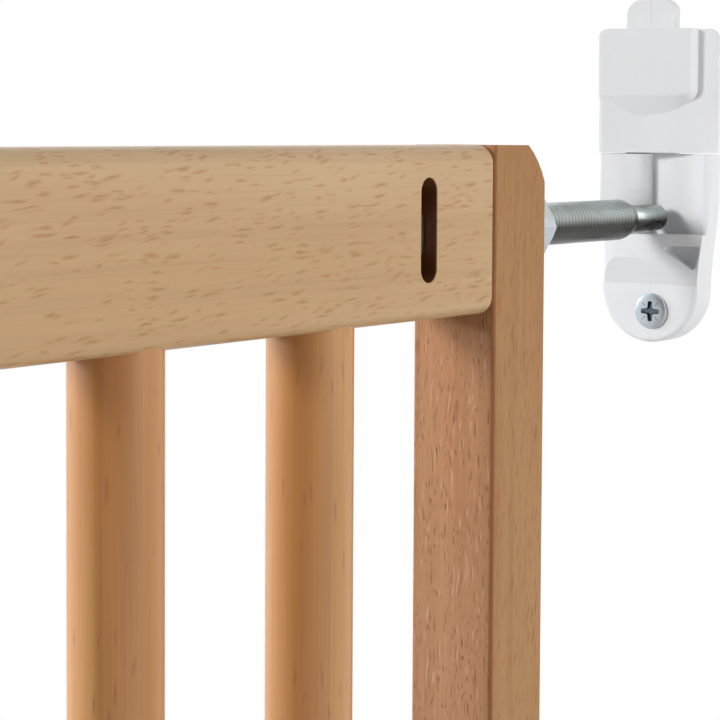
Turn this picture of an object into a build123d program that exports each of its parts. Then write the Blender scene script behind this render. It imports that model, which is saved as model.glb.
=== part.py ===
"""Safety baby gate: a beech panel hung between two door jambs on threaded steel spindles.

Millimetres, Z up. X runs along the gate from the hinge jamb's face (X = 0) to the latch jamb's face.
Y = 0 is the middle of the panel's thickness, and the latch side swings towards -Y, the front.
Z = 0 is the height of the lower hinge spindle.
"""
import os
from math import cos, radians, tan

from build123d import *

# Wooden panel
bar_count = 9
bar_pitch = 59.0
bar_diameter = 18.0
bar_seat = 12.0
end_bay = 52.9
post_length = 700.0
post_side = 21.2
post_ease = 0.8
post_corner_run = 7.1
post_corner_drop = 8.3
post_corner_swell = 1.1
rail_height = 37.0
rail_round = 4.0
rail_end_ease = 0.8
glue_gap = 0.05

# Dowels that join rails to posts
dowel_diameter = 8.0
dowel_slot_wall = 2.0
dowel_offset = 12.2
dowel_in_post = 13.0

# Spindles, nuts and the slots that hold the captive nuts
thread_diameter = 10.0
thread_gap = 0.05
wood_gap = 0.2
spindle_pin_diameter = 6.7
spindle_inner = 37.0
adjust_travel = 30.0
lock_nut_flats = 18.0
captive_nut_flats = 15.0
captive_nut_thickness = 5.0
lock_nut_thickness = 6.5
lock_nut_turn = 30.0
nut_chamfer = 1.0
slot_width = 6.05
slot_height = 22.2
slot_depth = 20.0
slot_from_post = 25.6
slot_rise = 1.0
spindle_drop = 0.2
pin_tip_stand = 6.1
latch_thread_chamfer = 3.0
latch_thread_core = 4.0
latch_pin_length = 17.3
latch_pin_round = 1.6

# Distances from the posts to the jambs
latch_reach = 80.0
hinge_reach = 55.0

# Latch base: across is measured from the pin's axis, stand from the jamb, rise from the pin's axis
base_top = 16.15
base_near_across = -14.2
block_far_across = 14.2
block_stand = 11.5
block_far_round = 1.0
block_near_round = 6.5
channel_floor = 2.2
channel_far_play = 0.25
channel_flat_end = -3.0
channel_bow = 1.3
rim_inner_across = -12.6
rim_stand = 5.6
rim_round = 1.3
ledge_play = 0.9
foot_crest_across = 1.6
foot_crest_round = 4.0
foot_far_round = 6.5
foot_near_stand = 7.3
slope_top_rise = -10.25
slope_foot_rise = -17.0
pocket_top_rise = -7.05
pocket_foot_rise = -13.4
pocket_far_across = -2.0
pocket_near_across = -13.0
pocket_foot_across = -11.6
pocket_floor = 5.6
pocket_corner = 0.8
pad_middle_across = 1.4
pad_half_width = 13.6
pad_stand = 8.0
pad_middle_rise = -18.3
pad_edge_round = 1.2
taper_start_rise = 6.0
flare_start_rise = -8.0

# Guide that the slide runs on, and the slide
guide_middle = 3.45
guide_width = 14.7
guide_stem_width = 11.7
guide_stem = 1.8
guide_stand = 3.8
guide_shoulder = 47.0
guide_top = 55.5
tab_near_across = -2.8
guide_corner = 4.0
slide_foot = 16.45
slide_top = 47.9
slide_corner = 3.0
slide_far_across = 14.1
slide_stand = 13.6
slide_far_round = 1.2
slide_front_width = 3.1
slide_front_back = 0.4
slide_crest_round = 7.0
slide_nose_width = 8.5
slide_dip_stand = 8.9
slide_dip_round = 6.0
slide_near_stand = 1.0
slide_gap = 0.3
slide_wall = 2.0
slide_roof = 3.0
slide_wall_gap = 0.4
thumb_near_across = -9.3
thumb_near_stand = 6.8
thumb_foot = 31.1
thumb_far_foot = -8.0
thumb_foot_corner = 4.0
thumb_edge_round = 1.3

# Wall screws
screw_thread_diameter = 4.5
screw_plain_diameter = 3.4
screw_head_diameter = 9.0
screw_head_height = 1.2
screw_head_edge = 0.5
screw_in_wall = 20.0
screw_point = 5.0
screw_gap = 0.1
screw_across = 0.3
pad_screw_rise = -23.9
guide_screw_rise = 42.0

# Lower latch base: an upper pad in place of the guide
upper_pad_middle_rise = 25.0
upper_pad_stand = 4.5

# Hinge brackets and the bent hinge spindles
hinge_axis_stand = 17.0
hinge_plate_half_width = 14.0
hinge_plate_half_height = 46.0
hinge_plate = 6.0
hinge_screw_rise = 35.0
cup_diameter = 16.0
cup_top_rise = -12.0
cup_height = 14.0
hinge_pin_gap = 0.05
hinge_bend = 8.0
hinge_collar_diameter = 12.0
hinge_collar_height = 2.5
hinge_taper = 6.0
hinge_thread_beyond_nut = 11.5

# Worked out from the sizes above
inner_width = 2 * end_bay + (bar_count - 1) * bar_pitch
hinge_post_face = hinge_reach
hinge_post_inner = hinge_reach + post_side
latch_post_inner = hinge_post_inner + inner_width
latch_post_face = latch_post_inner + post_side
latch_wall = latch_post_face + latch_reach
lower_axis = 0.0
upper_axis = post_length - rail_height
panel_foot = spindle_drop - rail_height / 2
bar_length = post_length - 2 * rail_height + 2 * bar_seat
dowel_in_rail = slot_from_post - slot_width / 2 - dowel_slot_wall
spindle_bore_depth = spindle_inner + adjust_travel + 1.0
latch_thread_end = latch_reach - pin_tip_stand - latch_pin_length - latch_thread_chamfer
thread_radius = thread_diameter / 2
pin_radius = spindle_pin_diameter / 2
channel_far_across = pin_radius + channel_far_play
ledge_rise = -pin_radius - ledge_play
guide_head_seat = guide_stand - screw_head_height
beyond = 40.0

os.makedirs("parts", exist_ok=True)


def save(shape, node):
    """Write one named piece."""
    shape.label = node
    export_step(shape, f"parts/{node}.step")


def box_between(low, high):
    """A box given by its two corners."""
    size = [b - a for a, b in zip(low, high)]
    middle = [(a + b) / 2 for a, b in zip(low, high)]
    return Pos(*middle) * Box(*size)


def rod_x(radius, start, end, height, across=0.0):
    """A round bar along X."""
    return Pos((start + end) / 2, across, height) * Rot(0, 90, 0) * Cylinder(radius, abs(end - start))


def rod_z(radius, foot, top, x=0.0, y=0.0):
    """A round bar along Z."""
    return Pos(x, y, (foot + top) / 2) * Cylinder(radius, top - foot)


# Posts and rails

def post():
    """An upright with its outer corners rounded off, inner side at X = 0, outer side at +X."""
    half = post_length / 2
    top_point = (post_side - post_corner_run, half)
    side_point = (post_side, half - post_corner_drop)
    middle = (
        post_side - post_corner_run / 2 + post_corner_swell / 2,
        half - post_corner_drop / 2 + post_corner_swell / 2,
    )
    outline = Curve() + [
        Line((0, -half), (0, half)),
        Line((0, half), top_point),
        ThreePointArc(top_point, middle, side_point),
        Line(side_point, (side_point[0], -side_point[1])),
        ThreePointArc((side_point[0], -side_point[1]), (middle[0], -middle[1]), (top_point[0], -half)),
        Line((top_point[0], -half), (0, -half)),
    ]
    body = extrude(Plane.XZ * make_face(outline), post_side / 2, both=True)
    inner_edges = body.edges().filter_by(Axis.Z).sort_by(Axis.X)[:2]
    body = fillet(inner_edges, post_ease)
    for side in (-1, 1):
        rise = side * (post_length - rail_height) / 2 - spindle_drop
        body -= rod_x(thread_radius + wood_gap, -1, post_side + 1, rise)
        for offset in (-dowel_offset, dowel_offset):
            body -= rod_x(dowel_diameter / 2 + glue_gap, -1, dowel_in_post, rise + offset)
    return body


def rail(height, bars_above):
    """A rail between the posts, with blind seats for the bars and a slotted, bored end at each post."""
    middle = height + spindle_drop
    body = Pos(hinge_post_inner + inner_width / 2, 0, middle) * Box(inner_width, post_side, rail_height)
    body = fillet(body.edges().filter_by(Axis.X), rail_round)
    ends = body.faces().sort_by(Axis.X)
    body = chamfer(ends[0].edges() + ends[-1].edges(), rail_end_ease)
    seat_end = middle + (rail_height / 2 if bars_above else -rail_height / 2)
    for x in bar_places():
        seat_low = seat_end - bar_seat if bars_above else seat_end - 1
        seat_high = seat_end + 1 if bars_above else seat_end + bar_seat
        body -= rod_z(bar_diameter / 2 + glue_gap, seat_low, seat_high, x)
    for post_x, inward in ((hinge_post_inner, 1), (latch_post_inner, -1)):
        bore_end = post_x + inward * spindle_bore_depth
        body -= rod_x(thread_radius + wood_gap, post_x - inward, bore_end, height)
        for offset in (-dowel_offset, dowel_offset):
            dowel_end = post_x + inward * dowel_in_rail
            body -= rod_x(dowel_diameter / 2 + glue_gap, post_x - inward, dowel_end, height + offset)
        slot = extrude(Plane.XZ * Rot(0, 0, 90) * SlotOverall(slot_height, slot_width), -slot_depth)
        body -= Pos(post_x + inward * slot_from_post, -post_side / 2, height + slot_rise) * slot
    return body


def bar_places():
    """The X places of the bars' centres."""
    return [hinge_post_inner + end_bay + bar_pitch * n for n in range(bar_count)]


def dowels():
    """The glued dowels that hold the rails to the posts."""
    pieces = []
    for height in (lower_axis, upper_axis):
        for post_x, inward in ((hinge_post_inner, 1), (latch_post_inner, -1)):
            start = post_x - inward * dowel_in_post
            end = post_x + inward * dowel_in_rail
            for offset in (-dowel_offset, dowel_offset):
                pieces.append(rod_x(dowel_diameter / 2, start, end, height + offset))
    return Compound(children=pieces)


# Nuts and spindles

def hex_nut(across_flats, thickness, turn=0.0):
    """A chamfered hexagon nut along X, centred on the origin, a flat at the front when it isn't turned."""
    flats = extrude(RegularPolygon(across_flats / 2, 6, major_radius=False), thickness / 2, both=True)
    corner_radius = across_flats / 2 / cos(radians(30))
    barrel = Cylinder(corner_radius, thickness)
    barrel = chamfer(barrel.edges().filter_by(GeomType.CIRCLE), nut_chamfer * tan(radians(30)), nut_chamfer)
    nut = flats & barrel
    nut -= Cylinder(thread_radius + thread_gap, thickness + 2)
    return Rot(turn, 0, 0) * Rot(0, 90, 0) * nut


def latch_spindle(height):
    """A threaded bar that ends in a smooth round-nosed pin, pointing at the latch jamb."""
    start = latch_post_inner - spindle_inner
    thread_end = latch_post_face + latch_thread_end
    shoulder = thread_end + latch_thread_chamfer
    tip = shoulder + latch_pin_length
    profile = Curve() + [
        Polyline(
            (start, 0),
            (start, thread_radius - 1),
            (start + 1, thread_radius),
            (thread_end, thread_radius),
            (shoulder, latch_thread_core),
            (shoulder, pin_radius),
            (tip - latch_pin_round, pin_radius),
        ),
        RadiusArc((tip - latch_pin_round, pin_radius), (tip, pin_radius - latch_pin_round), latch_pin_round),
        Polyline((tip, pin_radius - latch_pin_round), (tip, 0), (start, 0)),
    ]
    return Pos(0, 0, height) * revolve(make_face(profile), Axis.X)


def hinge_spindle(height):
    """A threaded bar whose plain end bends down into a vertical hinge pin with a collar."""
    start = hinge_post_inner + spindle_inner
    thread_end = hinge_post_face - lock_nut_thickness - hinge_thread_beyond_nut
    neck = thread_end - hinge_taper
    axis_x = hinge_axis_stand
    foot = cup_top_rise - cup_height
    threaded = rod_x(thread_radius, thread_end, start, 0)
    cone = Pos((thread_end + neck) / 2, 0, 0) * Rot(0, 90, 0) * Cone(pin_radius, thread_radius, hinge_taper)
    path = Curve() + [
        Line((neck, 0, 0), (axis_x + hinge_bend, 0, 0)),
        ThreePointArc(
            (axis_x + hinge_bend, 0, 0),
            (axis_x + hinge_bend * (1 - cos(radians(45))), 0, -hinge_bend * (1 - cos(radians(45)))),
            (axis_x, 0, -hinge_bend),
        ),
        Line((axis_x, 0, -hinge_bend), (axis_x, 0, foot)),
    ]
    bent = sweep(Plane((neck, 0, 0), z_dir=(-1, 0, 0)) * Circle(pin_radius), path)
    collar = rod_z(hinge_collar_diameter / 2, cup_top_rise, cup_top_rise + hinge_collar_height, axis_x)
    return Pos(0, 0, height) * (threaded + cone + bent + collar)


# Latch fittings, drawn with X across, Y standing off the jamb and Z rising from the pin's axis

def at_latch(shape, height):
    """Turn a latch fitting to face the gate from the latch jamb."""
    return Location((latch_wall, 0, height), (0, 0, 90)) * shape


def at_hinge(shape, height):
    """Turn a hinge fitting to face the gate from the hinge jamb."""
    return Location((0, 0, height), (0, 0, -90)) * shape


def catch_profile():
    """The base in plan at the pin: a tall rounded stop, the channel and the low near wall."""
    bow = ((channel_flat_end + rim_inner_across) / 2, (channel_floor + rim_stand) / 2 - channel_bow)
    face = make_face(Curve() + [
        Polyline(
            (rim_inner_across, rim_stand),
            (base_near_across, rim_stand),
            (base_near_across, 0),
            (block_far_across, 0),
            (block_far_across, block_stand),
            (channel_far_across, block_stand),
            (channel_far_across, channel_floor),
            (channel_flat_end, channel_floor),
        ),
        ThreePointArc((channel_flat_end, channel_floor), bow, (rim_inner_across, rim_stand)),
    ])
    face = fillet(face.vertices().sort_by_distance((block_far_across, block_stand))[0], block_far_round)
    face = fillet(face.vertices().sort_by_distance((channel_far_across, block_stand))[0], block_near_round)
    return fillet(face.vertices().sort_by_distance((base_near_across, rim_stand))[0], rim_round)


def foot_profile():
    """The base in plan below the pin: a front face and a flank that falls to the near edge."""
    pad_far = pad_middle_across + pad_half_width
    face = make_face(Polyline(
        (base_near_across, 0),
        (pad_far, 0),
        (pad_far, block_stand),
        (foot_crest_across, block_stand),
        (base_near_across, foot_near_stand),
        close=True,
    ))
    face = fillet(face.vertices().sort_by_distance((foot_crest_across, block_stand))[0], foot_crest_round)
    return fillet(face.vertices().sort_by_distance((pad_far, block_stand))[0], foot_far_round)


def base_outline():
    """The base from the front: wide at the latch, with a round pad below."""
    pad_near = pad_middle_across - pad_half_width
    pad_far = pad_middle_across + pad_half_width
    return make_face(Curve() + [
        Spline((pad_near, pad_middle_rise), (base_near_across, taper_start_rise), tangents=((0, 1), (0, 1))),
        Polyline(
            (base_near_across, taper_start_rise),
            (base_near_across, base_top),
            (block_far_across, base_top),
            (block_far_across, flare_start_rise),
        ),
        Spline((block_far_across, flare_start_rise), (pad_far, pad_middle_rise), tangents=((0, -1), (0, -1))),
        ThreePointArc((pad_far, pad_middle_rise), (pad_middle_across, pad_middle_rise - pad_half_width),
                      (pad_near, pad_middle_rise)),
    ])


def through_stand(face, stand=beyond):
    """Extrude a shape drawn from the front away from the jamb."""
    return extrude(Plane.XZ * face, -stand)


def slope_cut():
    """What is cut away below the front face, leaving a facet that slopes back to the pad."""
    face = make_face(Polyline(
        (block_stand, slope_top_rise),
        (pad_stand, slope_foot_rise),
        (pad_stand, slope_foot_rise - beyond),
        (block_stand + beyond, slope_foot_rise - beyond),
        (block_stand + beyond, slope_top_rise),
        close=True,
    ))
    return extrude(Plane.YZ * face, beyond, both=True)


def latch_body():
    """The body that both latch bases share: stop, channel, near wall, ledge, pocket and screw pad."""
    outline = through_stand(base_outline())
    catch = Pos(0, 0, ledge_rise) * extrude(catch_profile(), base_top - ledge_rise)
    foot = Pos(0, 0, slope_foot_rise) * extrude(foot_profile(), ledge_rise - slope_foot_rise)
    pad = through_stand(base_outline(), pad_stand)
    pad = fillet(pad.faces().sort_by(Axis.Y)[-1].edges(), pad_edge_round)
    pad &= box_between((-beyond, -1, pad_middle_rise - beyond), (beyond, beyond, slope_foot_rise))
    pocket = make_face(Polyline(
        (pocket_far_across, pocket_top_rise),
        (pocket_near_across, pocket_top_rise),
        (pocket_foot_across, pocket_foot_rise),
        close=True,
    ))
    pocket = fillet(pocket.vertices(), pocket_corner)
    foot = (foot & outline) - slope_cut() - Pos(0, pocket_floor, 0) * through_stand(pocket)
    body = (catch & outline) + foot + pad
    return body - screw_hole(screw_across, pad_screw_rise)


def guide_profile(grow):
    """The slide's guide in plan, a T, made larger all round by grow."""
    head = Pos(guide_middle, (guide_stem + guide_stand) / 2) * Rectangle(
        guide_width + 2 * grow, guide_stand - guide_stem + 2 * grow)
    stem = Pos(guide_middle, guide_stem / 2) * Rectangle(guide_stem_width + 2 * grow, guide_stem)
    return head + stem


def upper_latch_base():
    """The latch body with the guide for the slide above it, the guide narrowing to a tab at its top."""
    guide = Pos(0, 0, base_top) * extrude(guide_profile(0), guide_top - base_top)
    tab_width = guide_middle + guide_width / 2 - tab_near_across
    tab_middle = tab_near_across + tab_width / 2
    front = Pos(tab_middle, (base_top + guide_top) / 2) * Rectangle(tab_width, guide_top - base_top)
    front = fillet(front.vertices().sort_by(Axis.Y)[-2:], guide_corner)
    front += Pos(guide_middle, (base_top + guide_shoulder) / 2) * Rectangle(
        guide_width, guide_shoulder - base_top)
    guide &= through_stand(front)
    recess = Pos(screw_across, guide_head_seat, guide_screw_rise) * Rot(-90, 0, 0) * Cylinder(
        screw_head_diameter / 2 + screw_gap, beyond, align=(Align.CENTER, Align.CENTER, Align.MIN))
    return latch_body() + (guide - screw_hole(screw_across, guide_screw_rise) - recess)


def lower_latch_base():
    """The latch body with a second screw pad above it, and no slide."""
    reach = upper_pad_middle_rise + pad_half_width
    face = Pos(pad_middle_across, (base_top + upper_pad_middle_rise) / 2) * Rectangle(
        2 * pad_half_width, upper_pad_middle_rise - base_top)
    face += Pos(pad_middle_across, upper_pad_middle_rise) * Circle(pad_half_width)
    face &= Pos(pad_middle_across, (base_top + reach) / 2) * Rectangle(2 * pad_half_width, reach - base_top)
    pad = through_stand(face, upper_pad_stand)
    return latch_body() + (pad - screw_hole(screw_across, upper_pad_middle_rise))


def thumb_stand(across):
    """How far the thumb pad's plane stands off the jamb at a place across."""
    fall = (slide_stand - thumb_near_stand) / (slide_far_across - thumb_near_across)
    return slide_stand - (slide_far_across - across) * fall


def slide_profile():
    """The slide in plan: a rounded nose on the far side and a flank that falls to the jamb."""
    nose = (slide_far_across, slide_stand - slide_front_back)
    crest_across = slide_far_across - slide_front_width
    crest = (crest_across, thumb_stand(crest_across) - slide_front_back)
    dip = (slide_far_across - slide_nose_width, slide_dip_stand)
    face = make_face(Polyline(
        (base_near_across, slide_wall_gap),
        (slide_far_across, slide_wall_gap),
        nose,
        crest,
        dip,
        (base_near_across, slide_near_stand),
        close=True,
    ))
    for corner, radius in ((nose, slide_far_round), (crest, slide_crest_round), (dip, slide_dip_round)):
        face = fillet(face.vertices().sort_by_distance(corner)[0], radius)
    return face


def thumb_section(across, foot):
    """The thumb pad cut at one place across, its lower side running from the front back to foot."""
    stand = thumb_stand(across)
    face = make_face(Polyline(
        (slide_wall_gap, foot),
        (stand, thumb_foot),
        (stand, slide_top),
        (slide_wall_gap, slide_top),
        close=True,
    ))
    return Pos(across, 0, 0) * (Plane.YZ * face)


def thumb_pad():
    """The raised pad that the thumb pushes up, square at its near side and sloping into the nose."""
    near = thumb_section(thumb_near_across, thumb_foot)
    far = thumb_section(slide_far_across, thumb_far_foot)
    pad = loft([near, far], ruled=True)
    near_foot = (thumb_near_across, thumb_near_stand / 2, thumb_foot)
    pad = fillet(pad.edges().sort_by_distance(near_foot)[0], thumb_foot_corner)
    middle = (slide_far_across + thumb_near_across) / 2
    front = pad.faces().sort_by_distance((middle, thumb_stand(middle), (thumb_foot + slide_top) / 2))[0]
    soft = [
        edge for edge in front.edges()
        if edge.center().Z < slide_top - slide_gap and edge.center().X < slide_far_across - slide_gap
    ]
    pad = fillet(soft, thumb_edge_round)
    nose = (slide_far_across, slide_stand, (thumb_foot + slide_top) / 2)
    pad = fillet(pad.edges().sort_by_distance(nose)[0], slide_far_round)
    return pad & box_between((-beyond, 0, slide_foot), (beyond, beyond, slide_top))


def latch_slide():
    """The cap that runs up the guide: a wedge with a thumb pad, hollow below, on lips behind the guide."""
    rise = slide_top - slide_foot
    middle = (slide_far_across + base_near_across) / 2
    front = Pos(middle, (slide_foot + slide_top) / 2) * Rectangle(slide_far_across - base_near_across, rise)
    front = fillet(front.vertices().sort_by(Axis.Y)[-2:], slide_corner)
    cap = (Pos(0, 0, slide_foot) * extrude(slide_profile(), rise)) + thumb_pad()
    cap &= through_stand(front)
    hollow = offset(slide_profile(), -slide_wall, kind=Kind.INTERSECTION)
    hollow -= Pos(0, guide_stand + slide_gap + slide_wall - beyond) * Rectangle(2 * beyond, 2 * beyond)
    cap -= Pos(0, 0, slide_foot - 1) * extrude(hollow, rise - slide_roof + 1)
    return cap - Pos(0, 0, slide_foot - 1) * extrude(guide_profile(slide_gap), rise + 2)


# Wall screws

def screw_hole(across, rise):
    """A clearance hole for a wall screw."""
    return Pos(across, 0, rise) * Rot(90, 0, 0) * Cylinder(screw_thread_diameter / 2 + screw_gap, 2 * beyond)


def wall_screw(across, rise, seat):
    """A screw with its head's underside at seat, a plain neck in the fitting and a thread in the jamb."""
    head = screw_head_diameter / 2
    neck = screw_plain_diameter / 2
    thread = screw_thread_diameter / 2
    face = seat + screw_head_height
    profile = make_face(Polyline(
        (0, face),
        (head - screw_head_edge, face),
        (head, face - screw_head_edge),
        (head, seat),
        (neck, seat),
        (neck, 0),
        (thread, 0),
        (thread, screw_point - screw_in_wall),
        (0, -screw_in_wall),
        close=True,
    ))
    return Pos(across, 0, rise) * revolve(profile, Axis.Y)


def latch_screws(rows):
    """The screws of one latch base, each row a place across, a rise and a seat."""
    return [wall_screw(across, rise, seat) for across, rise, seat in rows]


# Hinge brackets

def hinge_bracket():
    """A wall plate with a cup that the hinge pin drops into."""
    outline = Rot(0, 0, 90) * SlotOverall(2 * hinge_plate_half_height, 2 * hinge_plate_half_width)
    plate = through_stand(outline, hinge_plate)
    cup_foot = cup_top_rise - cup_height
    cup = rod_z(cup_diameter / 2, cup_foot, cup_top_rise, 0, hinge_axis_stand)
    half = cup_diameter / 2
    web = box_between((-half, hinge_plate / 2, cup_foot), (half, hinge_axis_stand, cup_top_rise))
    body = plate + cup + web
    body -= rod_z(pin_radius + hinge_pin_gap, cup_foot - 1, cup_top_rise + 1, 0, hinge_axis_stand)
    for rise in (-hinge_screw_rise, hinge_screw_rise):
        body -= screw_hole(0, rise)
    return body


def hinge_screws():
    """The screws of one hinge bracket."""
    return [wall_screw(0, rise, hinge_plate) for rise in (-hinge_screw_rise, hinge_screw_rise)]


# Assembly

panel_middle = panel_foot + post_length / 2
save(Pos(latch_post_inner, 0, panel_middle) * post(), "latch_post")
save(Pos(hinge_post_inner, 0, panel_middle) * Rot(0, 0, 180) * post(), "hinge_post")
save(rail(upper_axis, False), "top_rail")
save(rail(lower_axis, True), "bottom_rail")
bar_foot = panel_foot + rail_height - bar_seat
for number, x in enumerate(bar_places(), start=1):
    save(rod_z(bar_diameter / 2, bar_foot, bar_foot + bar_length, x), f"bar_{number}")
save(dowels(), "frame_dowels")

for level, height in (("upper", upper_axis), ("lower", lower_axis)):
    save(latch_spindle(height), f"{level}_latch_spindle")
    save(hinge_spindle(height), f"{level}_hinge_spindle")
    lock_nut = hex_nut(lock_nut_flats, lock_nut_thickness, lock_nut_turn)
    save(Pos(latch_post_face + lock_nut_thickness / 2, 0, height) * lock_nut, f"{level}_latch_lock_nut")
    save(Pos(hinge_post_face - lock_nut_thickness / 2, 0, height) * lock_nut, f"{level}_hinge_lock_nut")
    captive = hex_nut(captive_nut_flats, captive_nut_thickness)
    save(Pos(latch_post_inner - slot_from_post, 0, height) * captive, f"{level}_latch_captive_nut")
    save(Pos(hinge_post_inner + slot_from_post, 0, height) * captive, f"{level}_hinge_captive_nut")
    save(at_hinge(hinge_bracket(), height), f"{level}_hinge_bracket")

save(at_latch(upper_latch_base(), upper_axis), "upper_latch_base")
save(at_latch(latch_slide(), upper_axis), "latch_slide")
save(at_latch(lower_latch_base(), lower_axis), "lower_latch_base")

pad_row = (screw_across, pad_screw_rise, pad_stand)
upper_rows = (pad_row, (screw_across, guide_screw_rise, guide_head_seat))
lower_rows = (pad_row, (screw_across, upper_pad_middle_rise, upper_pad_stand))
latch_set = [at_latch(screw, upper_axis) for screw in latch_screws(upper_rows)]
latch_set += [at_latch(screw, lower_axis) for screw in latch_screws(lower_rows)]
save(Compound(children=latch_set), "latch_screws")
hinge_set = [at_hinge(screw, height) for height in (upper_axis, lower_axis) for screw in hinge_screws()]
save(Compound(children=hinge_set), "hinge_screws")
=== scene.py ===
import math
from collections import namedtuple

import bmesh
import bpy
from mathutils import Matrix, Vector


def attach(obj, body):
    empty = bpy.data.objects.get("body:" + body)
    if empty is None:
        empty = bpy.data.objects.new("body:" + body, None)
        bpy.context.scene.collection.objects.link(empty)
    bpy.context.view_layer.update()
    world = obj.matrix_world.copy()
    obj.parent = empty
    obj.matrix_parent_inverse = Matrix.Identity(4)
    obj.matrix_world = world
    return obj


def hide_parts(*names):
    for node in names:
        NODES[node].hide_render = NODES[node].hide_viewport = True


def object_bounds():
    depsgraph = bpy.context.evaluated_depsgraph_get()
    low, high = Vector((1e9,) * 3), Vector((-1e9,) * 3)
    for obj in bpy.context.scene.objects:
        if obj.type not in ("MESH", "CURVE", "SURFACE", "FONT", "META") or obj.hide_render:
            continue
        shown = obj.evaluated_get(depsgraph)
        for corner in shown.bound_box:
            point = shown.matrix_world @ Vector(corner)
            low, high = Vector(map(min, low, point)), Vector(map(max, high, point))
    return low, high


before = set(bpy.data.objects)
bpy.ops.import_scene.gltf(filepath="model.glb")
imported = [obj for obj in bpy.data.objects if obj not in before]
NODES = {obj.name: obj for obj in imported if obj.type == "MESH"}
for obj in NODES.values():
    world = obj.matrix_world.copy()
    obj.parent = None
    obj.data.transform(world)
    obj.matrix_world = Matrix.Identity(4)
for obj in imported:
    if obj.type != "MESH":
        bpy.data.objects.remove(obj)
CAD_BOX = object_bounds()
SCENE = bpy.context.scene
X, Y, Z = 0, 1, 2

# Places and sizes that the pieces share, in metres
UPPER_AXIS, LOWER_AXIS = 0.663, 0.0
HINGE_JAMB, LATCH_JAMB = 0.0, 0.7552
HINGE_POST_INNER, LATCH_POST_INNER, LATCH_POST_OUTER = 0.0757, 0.6545, 0.6752
HINGE_THREAD_END, LATCH_THREAD_END = 0.037, LATCH_POST_OUTER + 0.0536
THREAD_RADIUS, THREAD_PITCH, THREAD_DEPTH, THREAD_RUN_OUT = 0.005, 0.0015, 0.00082, 0.0032
CORE_RADIUS = THREAD_RADIUS - THREAD_DEPTH * 1.02
PIN_RADIUS = 0.00335
SCREW_TURN_STEP = 0.7


# Node helpers

class Nodes:
    """Adds, sets and joins the nodes of one tree."""

    def __init__(self, tree):
        self.tree = tree

    def add(self, kind, inputs=(), **settings):
        """Add a node with its settings, then give its inputs plain values or other nodes' outputs."""
        node = self.tree.nodes.new(kind)
        for key, value in settings.items():
            setattr(node, key, value)
        for key, value in dict(inputs).items():
            self.feed(node.inputs[key], value)
        return node

    def feed(self, socket, value):
        """Link another node's output into a socket, or set the socket to a plain value."""
        if isinstance(value, bpy.types.NodeSocket):
            self.tree.links.new(value, socket)
        else:
            socket.default_value = value

    def math(self, operation, first, second=0.0):
        return self.add("ShaderNodeMath", {0: first, 1: second}, operation=operation).outputs[0]

    def plus(self, first, second):
        return self.math("ADD", first, second)

    def minus(self, first, second):
        return self.math("SUBTRACT", first, second)

    def times(self, first, second):
        return self.math("MULTIPLY", first, second)

    def larger(self, first, second):
        return self.math("MAXIMUM", first, second)

    def smaller(self, first, second):
        return self.math("MINIMUM", first, second)

    def band(self, value, low, high, at_low=0.0, at_high=1.0):
        """Passes smoothly from at_low to at_high while a value goes from low to high."""
        inputs = {"Value": value, "From Min": low, "From Max": high, "To Min": at_low, "To Max": at_high}
        return self.add("ShaderNodeMapRange", inputs, interpolation_type="SMOOTHSTEP").outputs["Result"]


class Finish(Nodes):
    """The nodes of one material, laid out on a piece's own Object coordinates."""

    def __init__(self, name):
        self.material = bpy.data.materials.new(name)
        self.material.use_nodes = True
        super().__init__(self.material.node_tree)
        self.shader = self.tree.nodes["Principled BSDF"]
        coordinates = self.add("ShaderNodeTexCoord").outputs
        self.place, self.normal = coordinates["Object"], coordinates["Normal"]

    def set_shader(self, **sockets):
        """Give the shader's own sockets plain values or other nodes' outputs."""
        for name, value in sockets.items():
            self.feed(self.shader.inputs[name.replace("_", " ")], value)

    def mapped(self, scale, shift=(0, 0, 0), source=None, turn=(0, 0, 0)):
        """The place, or another vector, scaled, moved and turned."""
        inputs = {"Vector": source or self.place, "Scale": scale, "Location": shift, "Rotation": turn}
        return self.add("ShaderNodeMapping", inputs).outputs["Vector"]

    def noise(self, scale, shift=(0, 0, 0), detail=2.0, rough=0.5, output="Fac"):
        """Soft noise, with a number of waves per metre along each axis."""
        inputs = {"Vector": self.mapped(scale, shift), "Scale": 1.0, "Detail": detail, "Roughness": rough}
        return self.add("ShaderNodeTexNoise", inputs).outputs[output]

    def cells(self, scale, shift, source):
        """Distance to the nearest of many scattered points, and a random value for each point."""
        inputs = {"Vector": self.mapped(scale, shift, source), "Scale": 1.0}
        points = self.add("ShaderNodeTexVoronoi", inputs).outputs
        parts = self.add("ShaderNodeSeparateColor", {"Color": points["Color"]}).outputs
        return points["Distance"], parts["Red"]

    def part(self, axis, source=None):
        """One coordinate of the place, or of another vector."""
        return self.add("ShaderNodeSeparateXYZ", {0: source or self.place}).outputs[axis]

    def facing(self, axis):
        """1 on faces that look along an axis, 0 on the others."""
        return self.band(self.math("ABSOLUTE", self.part(axis, self.normal)), 0.55, 0.85)

    def within(self, axis, middle, half, soft):
        """1 near a plane across an axis, 0 further away."""
        away = self.math("ABSOLUTE", self.plus(self.part(axis), -middle))
        return self.band(away, half - soft, half + soft, 1.0, 0.0)

    def blend(self, share, first, second):
        """One colour laid over another. The node has several sockets of each name, so they go by number."""
        first, second = (c if isinstance(c, bpy.types.NodeSocket) else (*c, 1) for c in (first, second))
        return self.add("ShaderNodeMix", {0: share, 6: first, 7: second}, data_type="RGBA").outputs[2]

    def bump(self, height, strength, distance, before=None):
        """Fine relief, on top of another one where that is given."""
        node = self.add("ShaderNodeBump", {"Height": height, "Strength": strength, "Distance": distance})
        if before is not None:
            self.feed(node.inputs["Normal"], before)
        return node.outputs["Normal"]


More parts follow.
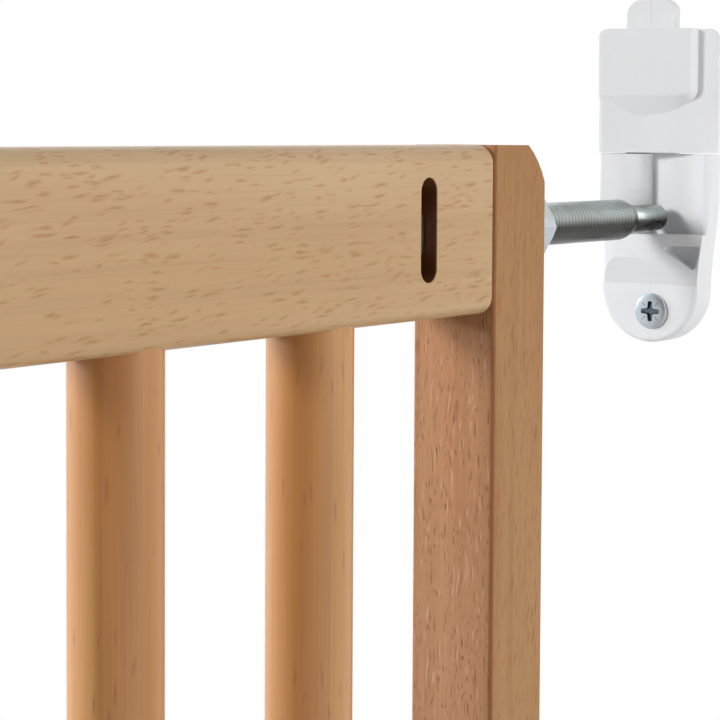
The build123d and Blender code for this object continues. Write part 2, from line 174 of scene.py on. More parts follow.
def seen(*screen):
    """A colour given as it looks on a screen, with each part above 10 of 255, as linear values."""
    return tuple(((part / 255 + 0.055) / 1.055) ** 2.4 for part in screen)


def dimmed(tint, share):
    """A colour with a share of its light."""
    return tuple(share * part for part in tint)


# Finishes

# A layer of ray flecks: its spacing along and across the grain, how far a fleck reaches before it starts to
# fade and where it ends, how many there are, their strength and colour, and the faces that carry them:
# True for faces across the wood's face axis, False for the others, None for all
Flecks = namedtuple("Flecks", "run width core fade many share tint on_face")
LAYER_SHIFT = 0.37
# Painted shade for the walls of the routed nut slots
SLOT_PAINTED_SHADE = seen(112, 66, 36)


def beech(name, along, face, tints, layers, shift, gloss, slant=(0, 0, 0), slot=None, edge=None):
    """Lacquered beech with grain along one axis.

    tints is a pale and a middle colour for faces across the face axis, then the same for the other faces.
    slot says where painted shade darkens a routed slot's walls, and edge gives more shares and colours to
    lay on top.
    """
    t = Finish(name)

    def stretched(on_grain, across):
        scale = [across, across, across]
        scale[along] = on_grain
        return tuple(scale)

    turned = t.facing(face)
    cloud = t.noise(stretched(5, 45), shift)
    streak = t.noise(stretched(7, 380), shift, 3.0, 0.6)
    line = t.noise(stretched(18, 2200), shift, 2.0, 0.55)
    pale = t.blend(turned, tints[2], tints[0])
    middle = t.blend(turned, tints[3], tints[1])
    colour = t.blend(t.band(cloud, 0.32, 0.68), middle, pale)
    colour = t.blend(t.band(streak, 0.4, 0.75, 0.0, 0.35), colour, dimmed(tints[1], 0.8))
    colour = t.blend(t.band(line, 0.5, 0.75, 0.0, 0.22), colour, dimmed(tints[1], 0.74))
    wander = t.blend(0.004, t.place, t.noise(stretched(60, 160), shift, output="Color"))
    leaning = t.mapped((1, 1, 1), source=wander, turn=slant)
    for number, layer in enumerate(layers):
        moved = tuple(part + number * LAYER_SHIFT for part in shift)
        near, pick = t.cells(stretched(1 / layer.run, 1 / layer.width), moved, leaning)
        some = t.band(pick, 1.0 - layer.many, 1.1 - layer.many)
        dash = t.times(t.band(near, layer.core, layer.fade, layer.share, 0.0), some)
        if layer.on_face is not None:
            dash = t.times(dash, turned if layer.on_face else t.minus(1.0, turned))
        colour = t.blend(dash, colour, layer.tint)
    if slot is not None:
        # Painted shade on the nut slots' walls inside the rails
        colour = t.blend(slot(t), colour, SLOT_PAINTED_SHADE)
    # On the posts this lays a painted shade line and the wood's real reddish flecks
    if edge is not None:
        for share, tint in edge(t, leaning):
            colour = t.blend(share, colour, tint)
    relief = t.bump(streak, 0.06, 0.0004, t.bump(line, 0.1, 0.0002))
    t.set_shader(Base_Color=colour, Roughness=t.band(streak, 0.3, 0.7, 0.34, 0.46), Normal=relief,
                 Specular_IOR_Level=gloss, Coat_Weight=gloss, Coat_Roughness=0.27,
                 Coat_IOR=1.3 + 0.5 * gloss)
    return t.material


def nut_slot_shade(t):
    """1 where painted shade darkens the routed nut slots inside the rails, 0 on the rails' own faces."""
    rise, half_height, half_depth = 0.001, 0.0125, 0.0103
    upper, lower = (t.within(Z, axis + rise, half_height, 0.0004) for axis in (UPPER_AXIS, LOWER_AXIS))
    return t.times(t.larger(upper, lower), t.within(Y, 0.0, half_depth, 0.0002))


def eased_edge_shade_and_flecks(t, leaning):
    """A painted shade line along the posts' eased inner corners, with the wood's reddish flecks beside it.
    """
    inset = 0.0016

    def along_posts(depth, half):
        return t.larger(t.within(X, LATCH_POST_INNER + depth, half, 0.0003),
                        t.within(X, HINGE_POST_INNER - depth, half, 0.0003))

    front = t.band(t.part(Y), -0.0103, -0.0097, 1.0, 0.0)
    # Painted shade along the eased corners
    line = t.times(t.times(along_posts(0.0, 0.0005), front), 0.75)
    near, pick = t.cells((400, 400, 95), (0.2, 0.1, 0.3), leaning)
    fleck = t.times(t.band(near, 0.15, 0.45, 0.6, 0.0), t.band(pick, 0.4, 0.5))
    return (line, seen(140, 88, 50)), (t.times(along_posts(inset, 0.0009), fleck), seen(170, 96, 56))


def axis_distance(t, height):
    """Distance from a spindle's axis."""
    side = t.math("POWER", t.part(Y), 2.0)
    up = t.math("POWER", t.plus(t.part(Z), -height), 2.0)
    return t.math("POWER", t.plus(side, up), 0.5)


def thread_root_shade(t, bottom=0.0044, top=0.00494):
    """1 in the bottoms of the spindles' threads, fading to 0 between two distances from the axis."""
    # Painted shade in the bottoms of the threads
    near = t.smaller(axis_distance(t, UPPER_AXIS), axis_distance(t, LOWER_AXIS))
    past_hinge = t.band(t.part(X), HINGE_THREAD_END - 0.0005, HINGE_THREAD_END + 0.0005)
    before_pin = t.band(t.part(X), LATCH_THREAD_END - 0.0003, LATCH_THREAD_END + 0.0017, 1.0, 0.0)
    return t.times(t.band(near, bottom, top, 1.0, 0.0), t.times(past_hinge, before_pin))


def spindle_underside_shade(t):
    """1 along the undersides of the spindles, where painted shade darkens them."""
    upper, lower = (t.band(t.plus(t.part(Z), -axis), -0.001, 0.0018, 1.0, 0.0)
                    for axis in (UPPER_AXIS, LOWER_AXIS))
    upper_half_of_gate = t.band(t.part(Z), 0.32, 0.34)
    return t.larger(lower, t.times(upper, upper_half_of_gate))


def shaded_roots(t):
    """1 on the threads along the undersides, all but their crests."""
    return t.times(thread_root_shade(t, 0.00478, 0.00499), spindle_underside_shade(t))


def zinc(name, tint, rough_low, rough_high, marks=()):
    """Bright zinc plating with faint cloudy patches, rolled-in streaks, and painted shade in recesses."""
    t = Finish(name)
    yellowed, painted_recess_shade = (0.5, 0.46, 0.33), (0.13, 0.17, 0.19)
    cloud = t.noise((90, 160, 160), detail=3.0)
    streak = t.noise((60, 2400, 2400))
    colour = t.blend(t.band(cloud, 0.35, 0.7), tint, dimmed(tint, 0.8))
    colour = t.blend(t.band(cloud, 0.55, 0.75, 0.0, 0.3), colour, yellowed)
    # Painted shade from the given marks
    for mark, share, shade in marks:
        colour = t.blend(t.times(mark(t), share), colour, shade)
    # Painted shade in the screw heads' cross recesses and on their ticks
    recess = t.add("ShaderNodeAttribute", attribute_name="recess").outputs["Fac"]
    t.set_shader(Base_Color=t.blend(recess, colour, painted_recess_shade), Metallic=1.0,
                 Roughness=t.band(cloud, 0.3, 0.7, rough_low, rough_high),
                 Normal=t.bump(streak, 0.06, 0.0001))
    return t.material


def parting_lines(t):
    """The fine mould lines on the latch bases: down the tab and the screw pads, and across the block."""
    tab_y, pad_y, block_y = 0.0038, 0.0009, 0.005
    tab_low, pad_drop, pad_half, block_rise = 0.709, 0.0245, 0.0078, 0.0064
    tab = t.times(t.within(Y, tab_y, 0.00014, 0.00006), t.band(t.part(Z), tab_low, tab_low + 0.0005))
    upper, lower = (t.within(Z, axis - pad_drop, pad_half, 0.0003) for axis in (UPPER_AXIS, LOWER_AXIS))
    pads = t.times(t.within(Y, pad_y, 0.00013, 0.00006), t.larger(upper, lower))
    block = t.times(t.within(Z, UPPER_AXIS + block_rise, 0.00012, 0.00006),
                    t.within(Y, block_y, 0.0012, 0.0001))
    latch_side = t.band(t.part(X), 0.7, 0.71)
    return t.times(t.larger(t.larger(tab, pads), block), latch_side)


def moulded_plastic(name, tint, lines=None):
    """White moulded plastic: a fine satin skin, faint flow marks, handling scuffs and mould lines."""
    t = Finish(name)
    flow = t.noise((60, 60, 25))
    skin = t.noise((2600, 2600, 2600))
    scuff = t.noise((35, 300, 300), detail=3.0, rough=0.7)
    colour = t.blend(t.band(flow, 0.35, 0.7), tint, dimmed(tint, 0.965))
    if lines is not None:
        colour = t.blend(t.times(lines(t), 0.3), colour, dimmed(tint, 0.6))
    relief = t.bump(skin, 0.05, 0.00006, t.bump(flow, 0.03, 0.0006))
    t.set_shader(Base_Color=colour, Roughness=t.band(scuff, 0.35, 0.75, 0.3, 0.46), Normal=relief,
                 Specular_IOR_Level=0.45, Subsurface_Weight=0.05, Subsurface_Scale=0.002)
    return t.material


RAIL_TINTS = 2 * (seen(206, 173, 132), seen(194, 158, 114))
POST_TINTS = (seen(186, 137, 100), seen(168, 117, 80), seen(180, 136, 90), seen(166, 120, 74))
BAR_TINTS = 2 * (seen(198, 144, 84), seen(180, 118, 58))
RAIL_FLECKS = (Flecks(0.0088, 0.00125, 0.05, 0.42, 0.7, 0.55, seen(168, 108, 54), None),
               Flecks(0.0062, 0.0009, 0.05, 0.4, 0.6, 0.45, seen(168, 108, 54), None))
POST_FLECKS = (Flecks(0.014, 0.0006, 0.05, 0.36, 0.85, 0.7, seen(100, 56, 34), True),
               Flecks(0.01, 0.00045, 0.05, 0.4, 0.7, 0.5, seen(112, 66, 40), True),
               Flecks(0.012, 0.0008, 0.08, 0.5, 0.4, 0.4, seen(214, 174, 146), True),
               Flecks(0.0085, 0.001, 0.05, 0.42, 0.85, 0.6, seen(146, 88, 46), False),
               Flecks(0.006, 0.0007, 0.05, 0.4, 0.7, 0.45, seen(146, 88, 46), False))
BAR_FLECKS = (Flecks(0.011, 0.0014, 0.05, 0.36, 0.45, 0.5, seen(150, 86, 40), None),)
# Painted shade on the spindles: along their undersides, in the thread roots, darkest in the roots
# underneath
SPINDLE_PAINTED_SHADE = ((spindle_underside_shade, 0.94, (0.03, 0.027, 0.021)),
                 (thread_root_shade, 0.6, (0.12, 0.12, 0.11)),
                 (shaded_roots, 0.99, (0.004, 0.004, 0.003)))
PLASTIC_WHITE = seen(238, 239, 241)

RAIL_WOOD = beech("beech_rail", X, Y, RAIL_TINTS, RAIL_FLECKS, (0.3, 0.7, 0.2), gloss=0.22,
                  slant=(0, 0.1, 0), slot=nut_slot_shade)
POST_WOOD = beech("beech_post", Z, X, POST_TINTS, POST_FLECKS, (0.1, 0.4, 0.9), gloss=0.12,
                  slant=(0, -0.12, 0), edge=eased_edge_shade_and_flecks)
BAR_WOOD = beech("beech_bar", Z, Y, BAR_TINTS, BAR_FLECKS, (0.6, 0.2, 0.5), gloss=0.4)
SPINDLE_ZINC = zinc("zinc_spindle", (0.43, 0.475, 0.46), 0.2, 0.32, SPINDLE_PAINTED_SHADE)
FITTING_ZINC = zinc("zinc_fitting", (0.6, 0.65, 0.69), 0.3, 0.46)
WHITE_PLASTIC = moulded_plastic("white_plastic_satin", PLASTIC_WHITE)
BASE_PLASTIC = moulded_plastic("white_plastic_base", PLASTIC_WHITE, parting_lines)


def material_of(node):
    """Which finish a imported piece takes."""
    if node.startswith("bar_"):
        return BAR_WOOD
    if node.endswith("_post"):
        return POST_WOOD
    if node.endswith("_rail") or node == "frame_dowels":
        return RAIL_WOOD
    if node.endswith("_latch_base"):
        return BASE_PLASTIC
    if node.endswith(("_bracket", "_slide")):
        return WHITE_PLASTIC
    return SPINDLE_ZINC if node.endswith("_spindle") else FITTING_ZINC


for node in NODES:
    finishes = NODES[node].data.materials
    finishes.clear()
    finishes.append(material_of(node))


# Geometry trees for threads and screws

def new_tree(name, output, **inputs):
    """A geometry tree with named inputs and one output, as its nodes and its inputs' sockets."""
    tree = bpy.data.node_groups.new(name, "GeometryNodeTree")
    for label, kind in inputs.items():
        tree.interface.new_socket(label.replace("_", " "), in_out="INPUT", socket_type="NodeSocket" + kind)
    tree.interface.new_socket(output, in_out="OUTPUT", socket_type="NodeSocketGeometry")
    nodes = Nodes(tree)
    return nodes, nodes.add("NodeGroupInput").outputs


def close_tree(nodes, shape, finish):
    """End a geometry tree in real geometry with its material set."""
    real = nodes.add("GeometryNodeRealizeInstances", {0: shape}).outputs[0]
    coated = nodes.add("GeometryNodeSetMaterial", {"Geometry": real, "Material": finish}).outputs[0]
    nodes.add("NodeGroupOutput", {0: coated})
    return nodes.tree


def thread_tree():
    """Geometry nodes: a helical ridge wound round the X axis, run out at its ends, joined to its core."""
    n, given = new_tree("thread_ridge", "Threaded", Core="Geometry", Start="Float", Length="Float",
                        Pitch="Float", Radius="Float", Depth="Float", Run_Out="Float", Finish="Material")
    steps_per_turn, root_width, crest_width, sunk = 40, 0.9, 0.16, 1.1
    length, radius, depth = given["Length"], given["Radius"], given["Depth"]

    middle_radius = n.minus(radius, n.times(depth, 0.5))
    turns = n.math("DIVIDE", length, given["Pitch"])
    spiral = n.add("GeometryNodeCurveSpiral",
                   {"Resolution": steps_per_turn, "Rotations": turns, "Height": length,
                    "Start Radius": middle_radius, "End Radius": middle_radius})
    upright = n.add("GeometryNodeSetCurveNormal", {"Curve": spiral.outputs[0]}, mode="Z_UP")
    tooth = n.add("GeometryNodeCurvePrimitiveQuadrilateral",
                  {"Height": depth, "Bottom Width": n.times(given["Pitch"], root_width),
                   "Top Width": n.times(given["Pitch"], crest_width), "Offset": 0.0}, mode="TRAPEZOID")
    outward = n.add("GeometryNodeTransform",
                    {"Geometry": tooth.outputs[0], "Rotation": (0, 0, -math.pi / 2)})
    ridge = n.add("GeometryNodeCurveToMesh",
                  {"Curve": upright.outputs[0], "Profile Curve": outward.outputs[0], "Fill Caps": True})

    # Towards both ends the ridge sinks into the core
    place = n.add("GeometryNodeInputPosition").outputs[0]
    x, y, z = n.add("ShaderNodeSeparateXYZ", {0: place}).outputs
    to_end = n.larger(n.smaller(z, n.minus(length, z)), 0.0)
    fade = n.smaller(n.math("DIVIDE", to_end, given["Run Out"]), 1.0)
    full = n.times(depth, sunk)
    limit = n.plus(n.minus(radius, full), n.times(fade, full))
    across = n.add("ShaderNodeCombineXYZ", {0: x, 1: y}).outputs[0]
    reach = n.add("ShaderNodeVectorMath", {0: across}, operation="LENGTH").outputs["Value"]
    shrink = n.smaller(n.math("DIVIDE", limit, reach), 1.0)
    moved = n.add("ShaderNodeCombineXYZ", {0: n.times(x, shrink), 1: n.times(y, shrink), 2: z}).outputs[0]
    tapered = n.add("GeometryNodeSetPosition", {"Geometry": ridge.outputs[0], "Position": moved})

    start = n.add("ShaderNodeCombineXYZ", {0: given["Start"]}).outputs[0]
    laid = n.add("GeometryNodeTransform", {"Geometry": tapered.outputs[0], "Translation": start,
                                           "Rotation": (0, math.pi / 2, 0)})
    both = n.add("GeometryNodeJoinGeometry", {0: given["Core"]})
    n.feed(both.inputs[0], laid.outputs[0])
    return close_tree(n, both.outputs[0], given["Finish"])


def screw_tree():
    """Geometry nodes: a screw at every point of a mesh, along the way out there, each turned further."""
    n, given = new_tree("screw_set", "Screws", Places="Geometry", Screw="Object", Turn_Step="Float",
                        Finish="Material")
    screw = n.add("GeometryNodeObjectInfo", {"Object": given["Screw"]}).outputs["Geometry"]
    way = n.add("GeometryNodeInputNamedAttribute", {"Name": "outward"}, data_type="FLOAT_VECTOR")
    align = n.add("FunctionNodeAlignRotationToVector", {"Vector": way.outputs["Attribute"]}, axis="X")
    angle = n.times(n.add("GeometryNodeInputIndex").outputs[0], given["Turn Step"])
    spin = n.add("FunctionNodeAxisAngleToRotation", {"Axis": (1, 0, 0), "Angle": angle})
    turn = n.add("FunctionNodeRotateRotation", {"Rotation": align.outputs[0], "Rotate By": spin.outputs[0]},
                 rotation_space="LOCAL")
    put = n.add("GeometryNodeInstanceOnPoints", {"Points": given["Places"], "Instance": screw,
                                                 "Rotation": turn.outputs[0]})
    return close_tree(n, put.outputs[0], given["Finish"])


THREAD = thread_tree()
SCREW_SET = screw_tree()


def grown(piece, tree, **values):
    """Run a geometry tree on a piece and keep the result as its plain mesh."""
    modifier = piece.modifiers.new("grow", "NODES")
    modifier.node_group = tree
    for item in tree.interface.items_tree:
        label = item.name.replace(" ", "_")
        if item.in_out == "INPUT" and label in values:
            modifier[item.identifier] = values[label]
    bpy.context.view_layer.update()
    evaluated = piece.evaluated_get(bpy.context.evaluated_depsgraph_get())
    mesh = bpy.data.meshes.new_from_object(evaluated)
    piece.modifiers.remove(modifier)
    mesh.name = piece.name
    piece.data = mesh
    return piece


# Shapes

def linked(name, data):
    """A new object in the scene."""
    made = bpy.data.objects.new(name, data)
    SCENE.collection.objects.link(made)
    return made


def new_piece(name, build):
    """Turn a finished bmesh into an object in the scene."""
    bmesh.ops.recalc_face_normals(build, faces=build.faces)
    mesh = bpy.data.meshes.new(name)
    build.to_mesh(mesh)
    build.free()
    return linked(name, mesh)


def crisp(piece, angle):
    """Smooth shading that keeps edges sharper than an angle in degrees."""
    for polygon in piece.data.polygons:
        polygon.use_smooth = True
    piece.data.set_sharp_from_angle(angle=math.radians(angle))


def wall(build, first, second):
    """Faces all round between two loops of points."""
    count = len(first)
    return [build.faces.new((first[n], first[(n + 1) % count], second[(n + 1) % count], second[n]))
            for n in range(count)]


def rod_rings(build, stations, around=48):
    """A closed round bar through stations (x, z, direction angle, radius) in the XZ plane."""
    rings = []
    for x, z, angle, radius in stations:
        ring = []
        for number in range(around):
            turn = math.tau * number / around
            side, up = radius * math.cos(turn), radius * math.sin(turn)
            ring.append(build.verts.new((x - up * math.sin(angle), side, z + up * math.cos(angle))))
        rings.append(ring)
    for first, second in zip(rings, rings[1:]):
        for face in wall(build, first, second):
            face.smooth = True
    build.faces.new(rings[0])
    build.faces.new(rings[-1])


# Spindles

TO_LATCH, TO_HINGE, DOWN = 0.0, math.pi, 1.5 * math.pi
BAR_END_RADIUS, BAR_END_BEVEL = 0.0040, 0.0003


def wound(piece, axis_height, start, length):
    """Wind the thread round a spindle whose axis is at a height."""
    for vertex in piece.data.vertices:
        vertex.co.z -= axis_height
    grown(piece, THREAD, Start=start, Length=length, Pitch=THREAD_PITCH, Radius=THREAD_RADIUS,
          Depth=THREAD_DEPTH, Run_Out=THREAD_RUN_OUT, Finish=SPINDLE_ZINC)
    for vertex in piece.data.vertices:
        vertex.co.z += axis_height
    crisp(piece, 40)


def latch_spindle(level, axis_height):
    """A threaded bar with a shoulder, a fine groove and a smooth, round-nosed pin."""
    start, thread_past_end = 0.617, 0.0024
    shoulder = LATCH_THREAD_END + 0.003
    tip = shoulder + 0.0173
    nose, groove = 0.0016, PIN_RADIUS - 0.0003
    stations = [(start, BAR_END_RADIUS), (start + BAR_END_BEVEL, CORE_RADIUS),
                (LATCH_THREAD_END + 0.0012, CORE_RADIUS), (shoulder - 0.0004, 0.0041), (shoulder, 0.0038),
                (shoulder + 0.0002, groove), (shoulder + 0.0009, groove),
                (shoulder + 0.0013, PIN_RADIUS), (tip - nose, PIN_RADIUS)]
    stations += [(tip - nose + nose * math.sin(a), PIN_RADIUS - nose + nose * math.cos(a))
                 for a in (math.radians(15 * n) for n in range(1, 7))]
    build = bmesh.new()
    rod_rings(build, [(x, axis_height, TO_LATCH, radius) for x, radius in stations])
    piece = new_piece(f"{level}_latch_spindle_threaded", build)
    wound(piece, axis_height, start, LATCH_THREAD_END + thread_past_end - start)
    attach(piece, f"{level}_latch_spindle")
    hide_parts(f"{level}_latch_spindle")


def hinge_spindle(level, axis_height):
    """A threaded bar whose plain end bends down into the hinge pin, with a collar that rests on the cup."""
    inner, neck, axis_x, bend, bend_steps = 0.1132, 0.031, 0.017, 0.008, 8
    foot, foot_bevel = -0.026, 0.0008
    collar_low, collar_high, collar_radius, top_bevel, low_bevel = -0.012, -0.0095, 0.006, 0.0006, 0.0004
    stations = [(inner, 0.0, TO_HINGE, BAR_END_RADIUS), (inner - BAR_END_BEVEL, 0.0, TO_HINGE, CORE_RADIUS),
                (HINGE_THREAD_END, 0.0, TO_HINGE, CORE_RADIUS), (neck, 0.0, TO_HINGE, PIN_RADIUS)]
    for step in range(bend_steps + 1):
        turn = math.radians(90 * step / bend_steps)
        stations.append((axis_x + bend - bend * math.sin(turn), -bend + bend * math.cos(turn),
                         TO_HINGE + turn, PIN_RADIUS))
    stations += [(axis_x, foot + foot_bevel, DOWN, PIN_RADIUS),
                 (axis_x, foot, DOWN, PIN_RADIUS - foot_bevel)]
    build = bmesh.new()
    rod_rings(build, stations)
    rod_rings(build, [(axis_x, collar_high, DOWN, collar_radius - top_bevel),
                      (axis_x, collar_high - top_bevel, DOWN, collar_radius),
                      (axis_x, collar_low + low_bevel, DOWN, collar_radius),
                      (axis_x, collar_low, DOWN, collar_radius - low_bevel)])
    for vertex in build.verts:
        vertex.co.z += axis_height
    piece = new_piece(f"{level}_hinge_spindle_threaded", build)
    start = HINGE_THREAD_END - THREAD_PITCH
    wound(piece, axis_height, start, inner - start)
    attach(piece, "gate_panel")
    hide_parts(f"{level}_hinge_spindle")


for level, axis_height in (("upper", UPPER_AXIS), ("lower", LOWER_AXIS)):
    latch_spindle(level, axis_height)
    hinge_spindle(level, axis_height)


# Wall screws, one head and one threaded shank set out at every place

def cross_outline(reach, half):
    """The corners of a cross recess, with small notches between its arms."""
    notch = half * 1.32
    arm = ((reach * 0.94, -half * 0.8), (reach, 0.0), (reach * 0.94, half * 0.8), (notch, half),
           (notch * 0.98, notch * 0.98), (half, notch))
    corners = []
    for quarter in range(4):
        turn = quarter * math.pi / 2
        corners += [(along * math.cos(turn) - across * math.sin(turn),
                     along * math.sin(turn) + across * math.cos(turn)) for along, across in arm]
    return corners


def screw_head():
    """A flat round head along X with a cross recess and four fine ticks, its underside at X = 0."""
    build = bmesh.new()
    # The recess attribute tells the zinc finish where to paint shade: fully in the cross recess, partly on
    # the ticks
    recess = build.verts.layers.float.new("recess")
    around, radius, height, edge = 48, 0.0045, 0.0012, 0.0005
    stub_end, stub_radius = -0.0056, 0.00155
    recess_reach, recess_half, recess_depth, lip_depth = 0.00265, 0.00072, 0.00085, 0.0001
    tick_inner, tick_outer, tick_half, tick_height, tick_shade = 0.0018, 0.0032, 0.00009, 0.000115, 0.8

    def ring(x, size):
        angles = (math.tau * n / around for n in range(around))
        return [build.verts.new((x, size * math.cos(a), size * math.sin(a))) for a in angles]

    stub = ring(stub_end, stub_radius)
    build.faces.new(stub)
    rings = [stub, ring(0, stub_radius), ring(0, radius), ring(height - edge, radius),
             ring(height - edge * 0.3, radius - edge * 0.35), ring(height, radius - edge)]
    for first, second in zip(rings, rings[1:]):
        wall(build, first, second)
    outline = cross_outline(recess_reach, recess_half)
    top = [build.verts.new((height, y, z)) for y, z in outline]
    lip = [build.verts.new((height - lip_depth, y * 0.97, z * 0.97)) for y, z in outline]
    floor = [build.verts.new((height - recess_depth, y * 0.72, z * 0.72)) for y, z in outline]
    wall(build, top, lip)
    wall(build, lip, floor)
    build.faces.new(floor)
    for vertex in lip + floor:
        vertex[recess] = 1.0
    edges = [build.edges.get((loop[n], loop[(n + 1) % len(loop)])) for loop in (rings[-1], top)
             for n in range(len(loop))]
    bmesh.ops.triangle_fill(build, use_beauty=True, use_dissolve=False, edges=edges)
    for quarter in range(4):
        turn = math.radians(45 + 90 * quarter)
        along = Vector((0, math.cos(turn), math.sin(turn)))
        across = Vector((0, -math.sin(turn), math.cos(turn)))
        low = [along * a + across * b + Vector((height - lip_depth, 0, 0))
               for a, b in ((tick_inner, -tick_half), (tick_outer, -tick_half),
                            (tick_outer, tick_half), (tick_inner, tick_half))]
        feet = [build.verts.new(place) for place in low]
        tops = [build.verts.new(place + Vector((tick_height, 0, 0))) for place in low]
        wall(build, feet, tops)
        build.faces.new(feet)
        build.faces.new(tops)
        for vertex in feet + tops:
            vertex[recess] = tick_shade
    piece = new_piece("screw_head", build)
    crisp(piece, 30)
    return piece


def screw_shank():
    """A wood screw's shank along X, threaded from the jamb at X = 0 to its point."""
    thread_length = 0.0165
    stations = ((0.0025, 0.0017), (0.0, 0.0017), (-0.0003, 0.0016), (-0.015, 0.0016), (-0.0197, 0.0003),
                (-0.02, 0.0001))
    build = bmesh.new()
    rod_rings(build, [(x, 0, TO_HINGE, radius) for x, radius in stations], 24)
    piece = new_piece("screw_shank", build)
    grown(piece, THREAD, Start=-thread_length, Length=thread_length, Pitch=0.002, Radius=0.00225,
          Depth=0.00062, Run_Out=0.0024, Finish=FITTING_ZINC)
    crisp(piece, 40)
    return piece


def set_out(name, screw, places):
    """One copy of a screw at each place, through the geometry tree."""
    mesh = bpy.data.meshes.new(name)
    mesh.from_pydata([place for place, way in places], [], [])
    ways = mesh.attributes.new("outward", "FLOAT_VECTOR", "POINT")
    for item, (place, way) in zip(ways.data, places):
        item.vector = way
    return grown(linked(name, mesh), SCREW_SET, Screw=screw, Turn_Step=SCREW_TURN_STEP, Finish=FITTING_ZINC)


def screw_rows():
    """Each screw's place on its jamb, how far its head stands off it and which way along X it looks."""
    latch_y, pad_drop, pad_seat = 0.0003, 0.0239, 0.008
    guide_rise, guide_seat, lower_rise, lower_seat = 0.042, 0.0026, 0.025, 0.0045
    hinge_half_span, hinge_seat = 0.035, 0.006
    latch = ((UPPER_AXIS - pad_drop, pad_seat), (UPPER_AXIS + guide_rise, guide_seat),
             (LOWER_AXIS - pad_drop, pad_seat), (LOWER_AXIS + lower_rise, lower_seat))
    rows = [(LATCH_JAMB, latch_y, z, seat, -1) for z, seat in latch]
    rows += [(HINGE_JAMB, 0.0, axis + rise, hinge_seat, 1) for axis in (LOWER_AXIS, UPPER_AXIS)
             for rise in (-hinge_half_span, hinge_half_span)]
    return rows


def wall_screws():
    """All the screws that hold the fittings to the two jambs."""
    rows = screw_rows()
    head, shank = screw_head(), screw_shank()
    heads = set_out("heads", head, [((x + way * seat, y, z), (way, 0, 0)) for x, y, z, seat, way in rows])
    shanks = set_out("shanks", shank, [((x, y, z), (way, 0, 0)) for x, y, z, seat, way in rows])
    build = bmesh.new()
    build.from_mesh(heads.data)
    build.from_mesh(shanks.data)
    piece = new_piece("wall_screws_cross_head", build)
    piece.data.materials.append(FITTING_ZINC)
    crisp(piece, 30)
    for spare in (head, shank, heads, shanks):
        bpy.data.objects.remove(spare)
    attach(piece, "wall_fittings")
    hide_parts("latch_screws", "hinge_screws")


wall_screws()


# Camera

def place_camera():
    """Put the camera where the photograph was taken from, with its centre shifted as in the photograph."""
    place = (0.2328, -0.2751, 0.6853)
    turn, pitch, roll = math.radians(35.51), math.radians(-3.07), math.radians(0.32)
    picture_side, focal_length_in_pixels, centre_row = 720, 2273.6, 250
    ahead = Vector((math.cos(turn) * math.cos(pitch), math.sin(turn) * math.cos(pitch), math.sin(pitch)))
    right = Vector((math.sin(turn), -math.cos(turn), 0))
    up = right.cross(ahead)
    right_rolled = math.cos(roll) * right + math.sin(roll) * up
    up_rolled = math.cos(roll) * up - math.sin(roll) * right
    data = bpy.data.cameras.new("camera")
    data.sensor_width = 36.0
    data.lens = focal_length_in_pixels / picture_side * data.sensor_width
    data.shift_y = (centre_row - picture_side / 2) / picture_side
    data.clip_start = 0.01
    camera = linked("camera", data)
    turned = Matrix((right_rolled, up_rolled, -ahead)).transposed()
    camera.matrix_world = Matrix.Translation(place) @ turned.to_4x4()
    SCENE.camera = camera


place_camera()


# Light, floor and background

def camera_like_rays(nodes):
    """1 for what the camera sees straight, in a mirror or through glass, 0 for light on the object."""
    rays = nodes.add("ShaderNodeLightPath").outputs
    straight_or_mirrored = nodes.larger(rays["Is Camera Ray"], rays["Is Glossy Ray"])
    return nodes.larger(straight_or_mirrored, rays["Is Transmission Ray"])


def white_world(light_level, dim_side, dim_level):
    """A white background that lights the object softly, with one side dimmer in light and in mirrors."""
    world = bpy.data.worlds.new("world")
    SCENE.world = world
    world.use_nodes = True
    n = Nodes(world.node_tree)
    way = n.add("ShaderNodeTexCoord").outputs["Generated"]
    towards = n.add("ShaderNodeVectorMath", {0: way, 1: dim_side}, operation="DOT_PRODUCT").outputs["Value"]
    dim = n.band(towards, 0.1, 0.85, 1.0, dim_level)
    level = n.band(camera_like_rays(n), 0.0, 1.0, light_level, 1.0)
    straight = n.add("ShaderNodeLightPath").outputs["Is Camera Ray"]
    background = n.tree.nodes["Background"].inputs
    background["Color"].default_value = (1, 1, 1, 1)
    n.feed(background["Strength"], n.larger(n.times(level, dim), straight))


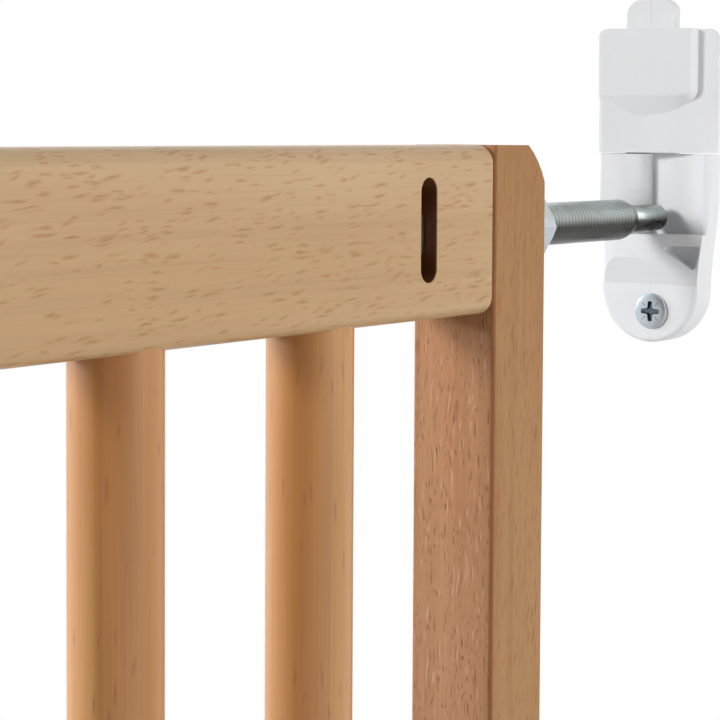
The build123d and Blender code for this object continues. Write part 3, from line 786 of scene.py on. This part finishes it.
def pale_floor(height):
    """A pale floor that keeps the shadow near the gate and fades to white further away."""
    centre, half_size, grey = (0.38, 0, height), 30, 0.82
    near_reach, far_reach, near_glow = 0.7, 1.8, 0.68
    mesh = bpy.data.meshes.new("floor")
    build = bmesh.new()
    bmesh.ops.create_grid(build, x_segments=1, y_segments=1, size=half_size,
                          matrix=Matrix.Translation(centre))
    build.to_mesh(mesh)
    build.free()
    floor = linked("floor", mesh)
    t = Finish("pale_floor")
    t.set_shader(Base_Color=(grey, grey, grey, 1), Roughness=0.7)
    apart = t.add("ShaderNodeVectorMath", {0: t.place, 1: centre}, operation="DISTANCE").outputs["Value"]
    far = t.band(apart, near_reach, far_reach, near_glow, 1.0)
    glow = t.add("ShaderNodeEmission", {"Color": (1, 1, 1, 1), "Strength": 1.0}).outputs[0]
    share = t.times(camera_like_rays(t), far)
    mix = t.add("ShaderNodeMixShader", {0: share, 1: t.shader.outputs[0], 2: glow})
    t.feed(t.tree.nodes["Material Output"].inputs["Surface"], mix.outputs[0])
    mesh.materials.append(t.material)


def hang(light, place, target, mirrored):
    """Hang a light at a place and aim it at a point. Only a mirrored one shows in glossy surfaces."""
    hung = linked(light.name, light)
    hung.location = place
    hung.rotation_euler = (Vector(target) - Vector(place)).to_track_quat("-Z", "Y").to_euler()
    hung.visible_camera = False
    hung.visible_glossy = mirrored


def lamp(name, place, target, size, power, mirrored=True):
    """A soft square light."""
    light = bpy.data.lights.new(name, "AREA")
    light.size = size
    light.energy = power
    hang(light, place, target, mirrored)


def spot(name, place, target, angle, size, power, tint=(1, 1, 1), mirrored=True):
    """A soft-edged spot."""
    light = bpy.data.lights.new(name, "SPOT")
    light.spot_size = math.radians(angle)
    light.spot_blend = 0.9
    light.shadow_soft_size = size
    light.energy = power
    light.color = tint
    hang(light, place, target, mirrored)


GATE_MIDDLE, PHOTOGRAPHED_CORNER, LATCH = (0.38, 0, 0.36), (0.6, 0, 0.6), (0.762, -0.002, 0.678)

white_world(light_level=0.38, dim_side=(-0.81, -0.58, 0.0), dim_level=0.15)
pale_floor(CAD_BOX[0].z - 0.03)
lamp("right_soft_light", (1.0, -1.1, 1.05), PHOTOGRAPHED_CORNER, size=0.9, power=7)
lamp("low_soft_light", (0.5, -1.05, 0.42), PHOTOGRAPHED_CORNER, size=0.8, power=3.0, mirrored=False)
spot("bar_edge_light", (0.0, 0.95, 0.72), GATE_MIDDLE, angle=24, size=0.35, power=490,
     tint=(0.84, 0.98, 1.12))
spot("latch_soft_light", (-0.25, 0.36, 0.98), LATCH, angle=16, size=0.16, power=58, mirrored=False)
SCENE.view_settings.view_transform = "Standard"
